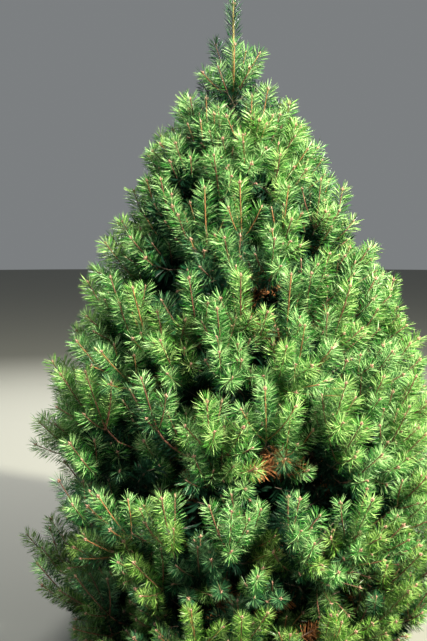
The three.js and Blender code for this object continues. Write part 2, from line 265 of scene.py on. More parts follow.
# Needles
NEEDLE_LENGTH = 0.047
LOW_NEEDLES = 0.66
SIDE_LOW_NEEDLES = 1.0
HIGH_NEEDLES = 1.03
FULL_NEEDLES_AT = 0.95
NEEDLES_SCATTER = 0.05
LENGTH_SCATTER = 0.05
NEEDLE_WIDTH = 0.0018
SIDE_NEEDLE_WIDTH = 0.0023
FRONT_SPREAD = 1.6
WIDEST_ALONG = 0.6
SPRAY_LEAN = (63, 62)
LEAN_SCATTER = math.radians(5)
LEAN_LIMITS = (0.04, 1.6)
TURNED_SCATTER = 0.25
GOLDEN_ANGLE = math.pi * (3 - math.sqrt(5))
SEATED_AT = 0.6
LOWEST_NEEDLE = 0.004
LOWEST_WOOD = 0.002
DOME_SPAN = 0.026
FOOT_SHORTER = 0.3
FOOT_FADE = 0.1
TUFT_SHORTER = 0.1
CROWDED_TIP = 0.76
PAIRS_PER_METRE = 808
FEWEST_PAIRS = 4
PAIR_SPLAY = 0.1
LEAST_SPLAY = 0.6
SPLAY_SPAN = 0.8
PAIR_DIFFERENCE = 0.04

# Tones: the zones of a spray, with painted shade at its foot and a tuft paler partly by its own colour and
# partly by painted highlight, and how its painted light is chosen
PALE_TUFT = 0.035
SHADED_FOOT = 0.3
ZONE_SCATTER = 0.05
DARKER_NEEDLES = 0.42
PALER_NEEDLES = 0.26
LIT_LOW_BELOW = 0.75
LIT_LOW_FROM = -0.45
SHADED_LOW_BELOW = (0.12, 0.8)
HALF_LIT_FROM = -0.15
SUNLIT_FROM = 0.72
DEPTH_SHADE = 1.8
FOOT_SHADE = 1.3
SHADE_TOP = 0.75
TOP_SHADE = 0.3
TOP_SHADE_FROM = 1.4
TOP_SHADE_SPAN = 0.7
LEFT_GLOW = 0.9
LEFT_GLOW_FROM = 0.84
LEFT_GLOW_SPAN = 0.1
CLUMP_TONE = 0.9
LIGHT_SCATTER = 0.3
NEAR_AXIS = 0.05

# Buds
BUD_LENGTH = 0.015
BUD_RADIUS = 0.0036
BUD_WIDEST_AT = 0.42
BUD_SEAT = 0.002
SMALLEST_BUD = 0.8
BUD_SIZE_SPAN = 0.4
SIDE_BUD_LEAN = 0.55
SIDE_BUD_LENGTH = 0.65
SIDE_BUD_RADIUS = 0.7

# Bark
TRUNK_RINGS = 300
TRUNK_SIDES = 30
RINGS_CROWD_DOWN = 1.15
NODE_SWELL = 0.09
NODE_SPAN = 0.018
TRUNK_RELIEF_AT = [0, 0.8, 1.7, TRUNK_TIP_AT]
TRUNK_RELIEF = [0.0042, 0.003, 0.0012, 0.0004]
BOUGH_RINGS = 56
BOUGH_SIDES = 12
BOUGH_LEAST_TAPER = 0.0015
BOUGH_RELIEF = (0.0022, 0.001)
COLLAR = 0.5
COLLAR_SPAN = 0.03
CRACK_SCALE = (85, 85, 16)
FLAKE_SCALE = (210, 210, 90)
PLATE_WIDTH = 0.35
CRACK_SHARE = 0.75
FLAKE_SHARE = 0.35

UP = np.array([0.0, 0.0, 1.0])
AHEAD = np.array([0.0, 1.0, 0.0])
TURN = 2 * math.pi
NEARLY_UPRIGHT = 0.9
SUN_FROM = np.array([0.6, -0.5, 0.62])


def seeded(seed):
    """A repeatable run of numbers from 0 to 1."""
    state = (seed * 7919 + 104729) % 2147483647

    def draw():
        nonlocal state
        state = state * 48271 % 2147483647
        return state / 2147483647

    draw()
    draw()
    return draw


def mix(a, b, share):
    return a + (b - a) * share


def between(limits, draw):
    return mix(limits[0], limits[1], draw())


def unit(vector):
    return vector / np.linalg.norm(vector, axis=-1, keepdims=True)


def polar(radius, azimuth, z):
    return np.array([radius * math.cos(azimuth), radius * math.sin(azimuth), z])


def across(tangents):
    """Two directions square to each tangent."""
    steep = np.abs(tangents[..., 2:3]) > NEARLY_UPRIGHT
    guides = np.where(steep, AHEAD, UP)
    sides = unit(np.cross(guides, tangents))
    return sides, np.cross(tangents, sides)


def curve(controls, count):
    """Points along the Bezier curve of these control points, root first."""
    shares = np.linspace(0, 1, count)[:, None]
    rows = [np.repeat(np.asarray(p, float)[None], count, 0) for p in controls]
    while len(rows) > 1:
        rows = [a + (b - a) * shares for a, b in zip(rows, rows[1:])]
    return rows[0]


def along(path, shares):
    """Points and tangents at these shares of a path's length."""
    steps = np.linalg.norm(np.diff(path, axis=0), axis=1)
    reached = np.concatenate([[0], np.cumsum(steps)]) / steps.sum()
    points = np.stack([np.interp(shares, reached, path[:, k]) for k in range(3)], 1)
    step = np.clip(np.searchsorted(reached, shares, side="right") - 1, 0, len(steps) - 1)
    return points, unit(np.diff(path, axis=0))[step]


def length_of(path):
    return np.linalg.norm(np.diff(path, axis=0), axis=1).sum()


# Trunk, crown and whorls: the rule that the solids were made by


def trunk_axis(z):
    """The trunk's middle at a height: a lean that grows towards the top, and a slight bend."""
    share = z / TRUNK_TIP_AT
    x = TRUNK_LEAN * share**3 + TRUNK_BEND * math.sin(share * BEND_ASIDE)
    y = TRUNK_BEND * math.sin(share * BEND_DEEP + BEND_START) - TRUNK_BEND * math.sin(BEND_START)
    return np.array([x, y, z])


def trunk_radius(z):
    left = max(0.0, 1 - z / TRUNK_TIP_AT)
    return mix(TRUNK_TIP_RADIUS, TRUNK_FOOT_RADIUS, left**TRUNK_TAPER)


def gap_depths(z, azimuth):
    """How far each gap draws the outline back here, as a share of its radius."""
    depths = []
    for turn, width, height, span, most, _ in GAPS:
        turned = (azimuth - math.radians(turn) + math.pi) % TURN - math.pi
        aside = turned / math.radians(width)
        above = (z - height) / span
        depths.append(most * math.exp(-(aside**2) - above**2))
    return depths


def gap_depth(z, azimuth):
    """The gaps here taken together."""
    return min(sum(gap_depths(z, azimuth)), DEEPEST_GAP)


def dead_in_gap(z, azimuth):
    """The share of dead twigs in the gap at this place, or None away from the gaps."""
    depths = gap_depths(z, azimuth)
    deepest = max(depths)
    return GAPS[depths.index(deepest)][-1] if deepest > GAP_FROM else None


def hump(z, middle, span):
    """1 at a height, fading to nothing above and below it."""
    return math.exp(-(((z - middle) / span) ** 2))


def full_radius(z, azimuth):
    """The crown's outline as if it had no gaps."""
    if z < WIDEST_AT:
        shape = math.sqrt(1 - ((WIDEST_AT - z) / BELLY_DEPTH) ** 2)
    else:
        shape = 1 - min(1, (z - WIDEST_AT) / (CROWN_POINT - WIDEST_AT)) ** CROWN_CURVE
    fuller = FULLER_SIDE * math.cos(azimuth) * hump(z, FULLER_AT, FULLER_SPAN)
    shoulder = SHOULDER * max(0, -math.cos(azimuth)) * hump(z, SHOULDER_AT, SHOULDER_SPAN)
    return CROWN_RADIUS * shape * (1 + fuller + shoulder)


def crown_radius(z, azimuth):
    return full_radius(z, azimuth) * (1 - gap_depth(z, azimuth))


def whorl_height(layer):
    return FIRST_WHORL + layer * YEAR_GROWTH


def edge_height(layer):
    """Height of the outer rim between a layer and the next one up."""
    if layer < 0:
        return GROUND_CLEAR
    return whorl_height(layer) + YEAR_GROWTH / 2 + SHOOT_RISE + RISE_STEP * layer


def cone_at(layer, radius, azimuth):
    """Height of the cone between a layer and the next one up."""
    if layer < 0:
        return GROUND_CLEAR
    edge = edge_height(layer)
    slope = math.tan(LOWEST_CONE + layer * CONE_STEP)
    return edge - slope * (crown_radius(edge, azimuth) - radius)


@dataclass
class Mass:
    """A mass of foliage: its whorl, its sector and the bough that carries it."""

    layer: int
    number: int
    azimuth: float
    half: float
    lift: float
    seed: int

    @property
    def has_bough(self):
        return self.layer < len(BOUGH_WHORLS)


def all_masses():
    """The masses whorl by whorl, each whorl turned against the one below."""
    masses = []
    for layer, count in enumerate(BOUGH_WHORLS + TWIG_WHORLS):
        for i in range(count):
            azimuth = FIRST_TURN + layer * WHORL_TURN + TURN * i / count
            lift = (seeded(100 * layer + i + 1)() - 0.5) * WHORL_SPREAD
            masses.append(Mass(layer, i + 1, azimuth, math.pi / count, lift, 31 * layer + 7 * i + 5))
    return masses


def bough_controls(mass):
    """A bough from the trunk's middle to its tip inside its mass, with a slight bow."""
    foot = trunk_axis(whorl_height(mass.layer) + mass.lift)
    middle = (edge_height(mass.layer - 1) + edge_height(mass.layer)) / 2
    reach = BOUGH_REACH * crown_radius(middle, mass.azimuth)
    under = cone_at(mass.layer - 1, reach, mass.azimuth)
    over = cone_at(mass.layer, reach, mass.azimuth)
    tip = polar(reach, mass.azimuth, mix(under, over, BOUGH_END_HEIGHT))
    bow = BOUGH_LIFT - BOUGH_SAG * max(0, tip[2] - foot[2])
    return [foot, (foot + tip) / 2 + bow * UP, tip]


def fork_point(mass, offset):
    """Where the twigs of a column part, well back from the outline."""
    azimuth = mass.azimuth + offset * mass.half
    low, high = edge_height(mass.layer - 1), edge_height(mass.layer)
    middle = (low + high) / 2
    back = min(FORK_BACK, FORK_BACK_MOST * crown_radius(middle, azimuth))
    height = LOWEST_FORK_HEIGHT if mass.layer == 0 else FORK_HEIGHT
    return polar(crown_radius(middle, azimuth) - back, azimuth, mix(low, high, height))


def tip_point(mass, offset, row, columns, draw):
    """A tip on the outline, in the lower or the upper row of a mass."""
    aside = (-ROW_SHIFT if row > MIDDLE_ROW else ROW_SHIFT) + (draw() - 0.5) * SIDE_SCATTER
    azimuth = mass.azimuth + (offset + aside / columns) * mass.half
    low, high = edge_height(mass.layer - 1), edge_height(mass.layer)
    z = mix(low, high, row) + (draw() - 0.5) * TIP_SCATTER
    reach = crown_radius(z, azimuth) * (1 + (draw() - 0.5) * REACH_SCATTER)
    return polar(reach - DOME_ROOM, azimuth, z)


def middle_tip(mass, offset, row, tips, draw):
    """A tip in a row between the two outer ones, a little back from the outline."""
    azimuth = mass.azimuth + (offset + (draw() - 0.5) * MIDDLE_SCATTER / tips) * mass.half
    low, high = edge_height(mass.layer - 1), edge_height(mass.layer)
    z = mix(low, high, row) + (draw() - 0.5) * TIP_SCATTER
    return polar(crown_radius(z, azimuth) * between(MIDDLE_REACH, draw) - DOME_ROOM, azimuth, z)


def stem_controls(start, direction, mass):
    """A mass's stem, which goes on from its bough and ends short of its fork."""
    reach = mix(start, fork_point(mass, 0), STEM_SHARE)
    bend = start + direction * STEM_BEND_AT * np.linalg.norm(reach - start)
    return [start, bend, reach]


# Growth: what one layer of the crown carries, as wood, needles and buds


@dataclass
class Pile:
    """Faces that end up in one piece, with a material for each."""

    points: list = field(default_factory=list)
    faces: list = field(default_factory=list)
    finishes: list = field(default_factory=list)
    count: int = 0

    def add(self, points, faces, finish):
        self.points.append(points)
        self.faces.append(faces + self.count)
        self.finishes.append(np.full(len(faces), finish))
        self.count += len(points)

    def piece(self, name, materials, smooth=False):
        """One object of all the faces, with its materials."""
        mesh = bpy.data.meshes.new(name)
        points = np.concatenate(self.points)
        faces = np.concatenate(self.faces)
        mesh.vertices.add(len(points))
        mesh.vertices.foreach_set("co", points.astype(np.float32).ravel())
        mesh.loops.add(faces.size)
        mesh.loops.foreach_set("vertex_index", faces.astype(np.int32).ravel())
        mesh.polygons.add(len(faces))
        mesh.polygons.foreach_set("loop_start", np.arange(0, faces.size, 3, dtype=np.int32))
        mesh.polygons.foreach_set("material_index", np.concatenate(self.finishes).astype(np.int32))
        mesh.polygons.foreach_set("use_smooth", np.full(len(faces), smooth))
        for material in materials:
            mesh.materials.append(material)
        mesh.update(calc_edges=True)
        mesh.validate()
        piece = bpy.data.objects.new(name, mesh)
        bpy.context.scene.collection.objects.link(piece)
        return piece


def tube(path, radii, sides):
    """A round limb along a path, with a pointed end."""
    tangents = unit(np.gradient(path, axis=0))
    sides_at, rises_at = across(np.repeat(unit(path[-1] - path[0])[None], len(path), 0))
    sides_at = unit(sides_at - tangents * (sides_at * tangents).sum(1, keepdims=True))
    rises_at = np.cross(tangents, sides_at)
    angles = TURN * np.arange(sides) / sides
    ring = np.cos(angles)[None, :, None] * sides_at[:, None]
    ring = ring + np.sin(angles)[None, :, None] * rises_at[:, None]
    points = path[:, None] + ring * np.asarray(radii)[:, None, None]
    end = path[-1] + tangents[-1] * radii[-1]
    points = np.concatenate([points.reshape(-1, 3), end[None]])
    j = np.arange(sides)
    k = (j + 1) % sides
    faces = []
    for i in range(len(path) - 1):
        low, high = i * sides, (i + 1) * sides
        faces.append(np.stack([low + j, low + k, high + k], 1))
        faces.append(np.stack([low + j, high + k, high + j], 1))
    last = (len(path) - 1) * sides
    faces.append(np.stack([last + j, last + k, np.full(sides, len(points) - 1)], 1))
    return points, np.concatenate(faces)


def needles(path, count, lean, longest, width, random, first):
    """Pairs of needles round a path, each a slim blade. lean is (along the path, at its tip)."""
    places = (np.arange(count) + random.random(count)) / count
    shares = first + (1 - first) * places**CROWDED_TIP
    points, tangents = along(path, shares)
    sides, rises = across(tangents)
    turns = np.arange(count) * GOLDEN_ANGLE + random.random() * TURN
    turns = turns + random.normal(0, TURNED_SCATTER, count)
    outward = sides * np.cos(turns)[:, None] + rises * np.sin(turns)[:, None]
    late = np.clip(1 - (1 - shares) * length_of(path) / DOME_SPAN, 0, 1)
    dome = lean[1] * np.sqrt(random.random(count))
    leans = np.clip(mix(lean[0], dome, late) + random.normal(0, LEAN_SCATTER, count), *LEAN_LIMITS)
    ahead = tangents * np.cos(leans)[:, None] + outward * np.sin(leans)[:, None]
    beside = np.cross(tangents, outward)
    lengths = longest * (1 - FOOT_SHORTER * np.exp(-shares / FOOT_FADE) - TUFT_SHORTER * late)
    lengths = lengths * (1 + random.normal(0, LENGTH_SCATTER, count))
    roots = points + outward * SHOOT_RADIUS * SEATED_AT
    blades = []
    for hand in (-1, 1):
        splay = hand * PAIR_SPLAY * (LEAST_SPLAY + SPLAY_SPAN * random.random(count))[:, None]
        directions = unit(ahead + beside * splay)
        roll = random.random(count)[:, None] * TURN
        wide, deep = across(directions)
        flat = wide * np.cos(roll) + deep * np.sin(roll)
        span = (lengths * (1 + random.normal(0, PAIR_DIFFERENCE, count)))[:, None]
        edge = roots + directions * span * WIDEST_ALONG + flat * width
        blades.append(np.stack([roots, edge, roots + directions * span], 1))
    return np.concatenate(blades), np.concatenate([shares, shares])


def spindle(root, direction, length, radius, sides):
    """A bud: a root, a swelling and a point."""
    side, rise = across(direction)
    angles = TURN * np.arange(sides)[:, None] / sides
    swelling = root + direction * length * BUD_WIDEST_AT
    ring = swelling + radius * (side * np.cos(angles) + rise * np.sin(angles))
    points = np.concatenate([root[None], ring, (root + direction * length)[None]])
    j = np.arange(sides) + 1
    k = np.roll(j, -1)
    foot = np.stack([np.zeros(sides, int), k, j], 1)
    return points, np.concatenate([foot, np.stack([j, k, np.full(sides, sides + 1)], 1)])


# Painted light: sunlit, half lit and shaded copies of the needles' greens, and a lit and a shaded yellower
# copy for low sprays, chosen by light_at
LIGHTS = ["shade", "cool", "warm", "olive", "dim"]
ZONES = ["foot", "middle", "tuft"]
WOODS = ["golden", "brown", "grey"]
# Old needles: near black, partly their own darker green and partly painted shade of the crown's inside
OLD = len(LIGHTS) * len(ZONES)
DEAD = OLD + 1
OLD_BRUSH = {"density": OLD_DENSITY, "lean": OLD_LEAN, "width": OLD_NEEDLE_WIDTH, "all_one": OLD}
INNER_BRUSH = {
    "density": INNER_DENSITY,
    "lean": INNER_LEAN,
    "reach": INNER_NEEDLE_REACH,
    "first": INNER_FIRST,
    "width": INNER_NEEDLE_WIDTH,
    "all_one": OLD,
}
HIGH_INNER_BRUSH = {**INNER_BRUSH, "reach": HIGH_INNER_REACH, "width": NEEDLE_WIDTH * HIGH_INNER_WIDER}
DEAD_BRUSH = {
    **INNER_BRUSH,
    "density": DEAD_DENSITY,
    "reach": HIGH_INNER_REACH,
    "width": DEAD_NEEDLE_WIDTH,
    "all_one": DEAD,
}


class Layer:
    """Everything that one whorl of the tree bears beyond its boughs."""

    def __init__(self, seed):
        self.sides = {"front": Pile(), "back": Pile()}
        self.needles = self.sides["front"]
        self.twigs = Pile()
        self.buds = Pile()
        self.random = np.random.default_rng(seed)

    def wood(self, path, radii, finish, sides=3):
        """A twig along a path, kept off the ground."""
        points, faces = tube(path, np.linspace(radii[0], radii[1], len(path)), sides)
        points[:, 2] = np.maximum(points[:, 2], LOWEST_WOOD)
        self.twigs.add(points, faces, WOODS.index(finish))

    def brush(
        self,
        path,
        light,
        density=1.0,
        lean=SPRAY_LEAN,
        reach=1.0,
        first=0.0,
        width=NEEDLE_WIDTH,
        all_one=None,
    ):
        """Needles along a path, with painted shade at its foot and a tuft at its tip paler partly by its
        own colour and partly by painted highlight, or all_one finish.
        """
        length = length_of(path)
        count = max(FEWEST_PAIRS, int(PAIRS_PER_METRE * density * length * (1 - first)))
        leans = [math.radians(a) for a in lean]
        blades, shares = needles(path, count, leans, NEEDLE_LENGTH * reach, width, self.random, first)
        kept = blades[:, :, 2].min(1) > LOWEST_NEEDLE
        blades, shares = blades[kept], shares[kept]
        if all_one is not None:
            zones = np.full(len(shares), all_one)
        else:
            # Zones: painted shade at the foot, a paler tuft at the tip; then some needles at random take
            # the darker or paler colour, as painted shade and painted glints
            ragged = shares + self.random.normal(0, ZONE_SCATTER, len(shares))
            zones = 1 + (ragged > 1 - PALE_TUFT / length).astype(int) - (ragged < SHADED_FOOT)
            speck = self.random.random(len(shares))
            zones += (speck < PALER_NEEDLES).astype(int) - (speck > 1 - DARKER_NEEDLES)
            zones = np.clip(zones, 0, 2) + len(ZONES) * LIGHTS.index(light)
        for zone in np.unique(zones):
            some = blades[zones == zone]
            self.needles.add(some.reshape(-1, 3), np.arange(3 * len(some)).reshape(-1, 3), zone)

    def bud_cluster(self, path, size, beside):
        """A bud at a path's tip, with smaller ones beside it."""
        direction = unit(path[-1] - path[-2])
        side, rise = across(direction)
        root = path[-1] - direction * BUD_SEAT
        self.buds.add(*spindle(root, direction, BUD_LENGTH * size, BUD_RADIUS * size, 4), 0)
        length = BUD_LENGTH * SIDE_BUD_LENGTH * size
        radius = BUD_RADIUS * SIDE_BUD_RADIUS * size
        turn = self.random.random() * TURN
        for i in range(beside):
            angle = turn + i * TURN / beside
            out = side * math.cos(angle) + rise * math.sin(angle)
            leaning = unit(direction + out * SIDE_BUD_LEAN)
            foot = root + out * BUD_SEAT * size
            self.buds.add(*spindle(foot, leaning, length, radius, 3), 0)

    def shoot(self, root, start, end, length, light, wood, main=False, **brush):
        """This year's shoot: it leaves along start, turns towards end, and ends in buds."""
        bend = root + start * length * SHOOT_BEND_AT
        path = curve([root, bend, root + unit(start + end) * length * SHOOT_END_AT], SHOOT_POINTS)
        tip = path[-1]
        if tip[2] < LOWEST_SHOOT:
            return
        self.wood(path, (SHOOT_RADIUS, SHOOT_TIP_RADIUS), wood, sides=4 if main else 3)
        facing = -tip[1] / max(NEAR_AXIS, np.hypot(tip[0], tip[1]))
        front = min(1, max(0, FRONT_SPREAD * facing))
        lowest = mix(SIDE_LOW_NEEDLES, LOW_NEEDLES, front)
        height = min(1, tip[2] / FULL_NEEDLES_AT)
        reach = mix(lowest, HIGH_NEEDLES, height) + self.random.normal(0, NEEDLES_SCATTER)
        width = mix(SIDE_NEEDLE_WIDTH, NEEDLE_WIDTH, front)
        self.brush(path, light, reach=reach, width=width, **brush)
        size = SMALLEST_BUD + BUD_SIZE_SPAN * self.random.random()
        self.bud_cluster(path, size, beside=4 if main else 2)

    def year_growth(self, node, ahead, length, sides, draw, wood, tone, density=1.0):
        """The shoots that fan from a node: a long one straight on and shorter ones round it."""
        light = light_at(node + ahead * length, ahead, tone, draw)
        onward = unit(ahead + MAIN_UPTURN * UP)
        self.shoot(node, ahead, onward, length, light, wood, main=True, density=MAIN_DENSITY * density)
        side, over = across(ahead)
        turn = draw() * TURN
        for i in range(sides):
            angle = turn + TURN * (i + SIDE_TURN_SCATTER * (draw() - 0.5)) / sides
            cone = between(SIDE_CONE, draw)
            out = side * math.cos(angle) + over * math.sin(angle)
            start = unit(ahead * math.cos(cone) + out * math.sin(cone) + SIDE_RISE * UP)
            end = unit(start + SIDE_AHEAD * ahead + SIDE_UPTURN * UP)
            origin = node - ahead * NODE_SPREAD * draw()
            room = within_crown(origin, unit(start + end), length * SIDE_SHARE[1])
            share = between(SIDE_SHARE, draw) * room
            light = light_at(origin + start * length * share, start, tone, draw)
            self.shoot(origin, start, end, length * share, light, wood, density=density)


def outline_at(point, radius_at):
    """The outline's radius at a point's height and turn."""
    return radius_at(max(LOWEST_OUTLINE, point[2]), math.atan2(point[1], point[0]))


def within_crown(origin, direction, length):
    """How much of a length stays inside the crown's outline."""
    for share in SHARES_TRIED:
        tip = origin + direction * length * share
        if np.hypot(tip[0], tip[1]) < INSIDE_MARGIN * outline_at(tip, crown_radius):
            return share
    return SHORTEST_SHARE


def light_at(point, outward, tone, draw):
    """Painted light and shade: picks a spray's lit or shaded copy of the greens by how it faces SUN_FROM,
    how deep it lies under the outline without gaps, a shift of tone, and its height.
    """
    away = np.hypot(point[0], point[1])
    depth = 1 - away / outline_at(point, full_radius)
    stray, hue = draw(), draw()
    sun = float(outward @ SUN_FROM) - DEPTH_SHADE * max(0, depth) + tone + (stray - 0.5) * LIGHT_SCATTER
    # Painted shade towards the foot and towards the top of the crown, and painted light on the sprays at
    # the left outline
    sun -= FOOT_SHADE * max(0, 1 - point[2] / SHADE_TOP)
    sun -= TOP_SHADE * min(1, max(0, (point[2] - TOP_SHADE_FROM) / TOP_SHADE_SPAN))
    leftward = -point[0] / max(NEAR_AXIS, away)
    sun += LEFT_GLOW * min(1, max(0, (leftward - LEFT_GLOW_FROM) / LEFT_GLOW_SPAN))
    # Low sprays that get some light take the yellower lit copy, painted as if lit from the ground; shaded
    # low sprays take the shaded low copy
    if point[2] < LIT_LOW_BELOW * hue and sun > LIT_LOW_FROM:
        return "olive"
    if sun < HALF_LIT_FROM:
        return "dim" if point[2] < mix(SHADED_LOW_BELOW[0], SHADED_LOW_BELOW[1], hue) else "shade"
    return "cool" if sun < SUNLIT_FROM else "warm"


def back_branch(layer, twig, ahead, length, angle, draw, wood, tone):
    """A side branch from the twig's older node, as old as the twig's own end, with its shoots."""
    share = between(BACK_AT, draw)
    place, direction = along(twig, np.array([share]))
    origin, direction = place[0], direction[0]
    side, over = across(direction)
    cone = between(BACK_CONE, draw)
    out = side * math.cos(angle) + over * math.sin(angle)
    start = unit(direction * math.cos(cone) + out * math.sin(cone))
    end = unit(start + BACK_AHEAD * ahead + BACK_UPTURN * UP)
    reach = length_of(twig) * (1 - share) * between(BACK_SHARE, draw)
    node = origin + unit(start + end) * reach
    if node[2] < BACK_LOWEST_NODE:
        return
    path = curve([origin, origin + start * reach * BACK_BEND_AT, node], BACK_POINTS)
    layer.wood(path, (TWIG_RADIUS * BACK_TAPER, SHOOT_RADIUS), "brown")
    layer.brush(path, "shade", first=BACK_NEEDLES_FROM, **OLD_BRUSH)
    onward = unit(end + BACK_ONWARD * ahead)
    main = length * BACK_SHOOT_SHARE * within_crown(node, onward, length * BACK_SHOOT_SHARE)
    # The side branch's shoots take a little more painted shade than the twig's own
    layer.year_growth(node, onward, main, BACK_SIDE_SHOOTS, draw, wood, tone - BACK_TONE, BACK_DENSITY)


def branch_end(layer, root, fork, tip, row, draw):
    """A twig from its root to its node, with this year's shoots at its end and side branches behind."""
    height = min(1, tip[2] / STEEPEST_AT)
    row_rise = ROW_RISE * (row - MIDDLE_ROW) / (ROWS[1] - MIDDLE_ROW)
    rise = mix(LOW_RISE, HIGH_RISE, height**RISE_SOON) + row_rise
    rise += (draw() - 0.5) * RISE_SCATTER
    azimuth = math.atan2(tip[1], tip[0]) + (draw() - 0.5) * TURN_SCATTER
    ahead = polar(math.cos(rise), azimuth, math.sin(rise))
    length = between(MAIN_SHOOT, draw) * mix(LOW_SHOOTS, 1, min(1, tip[2] / FULL_SHOOTS_AT))
    node = tip - ahead * length
    node[2] = max(node[2], LOWEST_NODE)
    reach = np.linalg.norm(node - root)
    twig = curve([root, mix(root, fork, FORK_SHARE), node - ahead * reach * TWIG_BOW, node], TWIG_POINTS)
    layer.wood(twig, (TWIG_RADIUS, SHOOT_RADIUS), "grey" if draw() < GREY_SHARE else "brown", sides=4)
    layer.brush(twig, "shade", first=TWIG_NEEDLES_FROM, **OLD_BRUSH)
    wood = "golden" if draw() < GOLDEN_SHARE else "brown"
    # A random shift of the painted light, the same for all the shoots of this branch end
    tone = (draw() - 0.5) * CLUMP_TONE
    layer.year_growth(node, ahead, length, SIDE_SHOOTS, draw, wood, tone)
    turn = draw() * TURN
    for i in range(BACK_BRANCHES):
        angle = turn + TURN * (i + BACK_TURN_SCATTER * (draw() - 0.5)) / BACK_BRANCHES
        back_branch(layer, twig, ahead, length, angle, draw, wood, tone)


def inner_twigs(layer, mass, limbs, grid, depths, draw):
    """Twigs that sweep sideways behind the outline, with the old and dead needles of the inside, the old
    ones near black, partly painted shade.
    """
    columns, rows = grid
    low, high = edge_height(mass.layer - 1), edge_height(mass.layer)
    for row in range(rows):
        for column in range(columns):
            azimuth = mass.azimuth + ((column + draw()) / columns * 2 - 1) * mass.half
            z = max(INNER_LOWEST, mix(low, high, (row + draw()) / rows))
            depth = between(depths, draw)
            hand = 1 if draw() < 0.5 else -1
            sweep = unit(polar(1, azimuth + hand * between(INNER_SWEEP, draw), INNER_RISE))
            limb = limbs[(row + column) % len(limbs)]
            root = along(limb, np.array([INNER_ROOT_FROM + INNER_ROOT_SPAN * draw()]))[0][0]
            length = between(INNER_LENGTH, draw)
            fate = draw()
            share = dead_in_gap(z, azimuth)
            if share is None:
                dead = fate < DEAD_SHARE and depth < DEAD_DEPTH and mass.layer < DEAD_LAYERS
            else:
                dead = fate < share
                depth = mix(depth, 1, DEAD_OUTWARD) if dead else depth
            tip = polar(depth * crown_radius(z, azimuth), azimuth, z)
            if dead and share is not None:
                tip[2] -= DEAD_DROP
            node = tip - sweep * length
            node[2] = max(node[2], INNER_LOWEST_NODE)
            path = curve([root, node, mix(node, tip, 0.5), tip], INNER_POINTS)
            layer.wood(path, INNER_RADII, "grey")
            living = INNER_BRUSH if mass.has_bough else HIGH_INNER_BRUSH
            layer.brush(path, "shade", **(DEAD_BRUSH if dead else living))


def grow_mass(layer, mass):
    """One mass: its stem, its inner twigs and the branch ends in its rows."""
    draw = seeded(mass.seed)
    layer.needles = layer.sides["front" if math.sin(mass.azimuth) < 0 else "back"]
    limbs = []
    if mass.has_bough:
        controls = bough_controls(mass)
        limbs.append(curve(controls, LIMB_POINTS))
        direction = unit(controls[2] - controls[1])
        start = controls[2] - direction * STEM_OVERLAP
        thick = BOUGH_TIP_RADIUS
    else:
        start = trunk_axis(whorl_height(mass.layer) + mass.lift)
        direction = unit(polar(HIGH_STEM_OUT, mass.azimuth, HIGH_STEM_UP))
        thick = STEM_END_RADIUS + HIGH_STEM_THICKER
    stem = curve(stem_controls(start, direction, mass), LIMB_POINTS)
    layer.wood(stem, (thick, STEM_END_RADIUS), "grey", STEM_SIDES)
    limbs.append(stem)
    inner_twigs(layer, mass, limbs, INNER_TWIGS[mass.layer], INNER_DEPTH, draw)
    columns = COLUMNS[mass.layer]
    for column in range(columns):
        offset = (column + 0.5) / columns * 2 - 1
        share = mix(LAST_TWIG_AT, FIRST_TWIG_AT, abs(offset))
        root = along(stem, np.array([share]))[0][0]
        fork = fork_point(mass, offset)
        for row in ROWS:
            tip = tip_point(mass, offset, row, columns, draw)
            branch_end(layer, root, fork, tip, row, draw)
    rows = ROWS_BETWEEN[mass.layer]
    for number, tips in enumerate(rows):
        row = mix(ROWS[0], ROWS[1], (number + 1) / (len(rows) + 1))
        for i in range(tips):
            offset = (i + 0.5) / tips * 2 - 1
            share = mix(LAST_TWIG_AT, FIRST_TWIG_AT, abs(offset))
            root = along(stem, np.array([share - MIDDLE_ROOT_BACK]))[0][0]
            tip = middle_tip(mass, offset, row, tips, draw)
            branch_end(layer, root, fork_point(mass, offset), tip, row, draw)
    if mass.has_bough:
        inner_twigs(layer, mass, limbs, HEART_TWIGS, HEART_DEPTH, draw)


def grow_top(layer):
    """The leading shoot and the ring of side shoots at its foot, long and short in turn."""
    draw = seeded(TOP_WHORL)
    for i in range(TOP_SHOOTS):
        azimuth = TOP_TURN + TURN * i / TOP_SHOOTS
        root = trunk_axis(whorl_height(TOP_WHORL) + TOP_STAGGER * ((2 * i) % TOP_SHOOTS - 2))
        lean, length = TOP_SHOOT_LEANS[i], TOP_SHOOT_LENGTHS[i]
        start = polar(math.sin(lean), azimuth, math.cos(lean))
        end = unit(start + TOP_UPTURN * UP)
        # The top shoots' sprays take painted shade through TOP_TONE
        light = light_at(root + start * length, start, TOP_TONE, draw)
        layer.shoot(root, start, end, length, light, "golden", main=True, lean=TOP_LEAN)
        lean, length = between(RING_LEAN, draw), between(RING_LENGTH, draw)
        start = polar(math.sin(lean), azimuth + TURN * 0.5 / TOP_SHOOTS, math.cos(lean))
        end = unit(start + RING_UPTURN * UP)
        # The ring shoots always take the half lit copy: painted light
        layer.shoot(root - RING_DROP * UP, start, end, length, "cool", "brown")
    heights = np.linspace(LEADER_FOOT, TRUNK_TIP_AT, LEADER_POINTS)
    leader = np.array([trunk_axis(z) for z in heights])
    # The leader's needles take the shaded copy: painted shade
    layer.brush(leader, "shade", lean=LEADER_LEAN, reach=LEADER_REACH)
    layer.bud_cluster(leader, LEADER_BUD, LEADER_SIDE_BUDS)
    heights = np.linspace(UNDER_LEADER_FROM, LEADER_FOOT, UNDER_LEADER_POINTS)
    under = np.array([trunk_axis(z) for z in heights])
    layer.brush(under, "shade", UNDER_LEADER_DENSITY, UNDER_LEADER_LEAN, all_one=OLD)


# Bark: the trunk and the boughs as closed skins with their relief


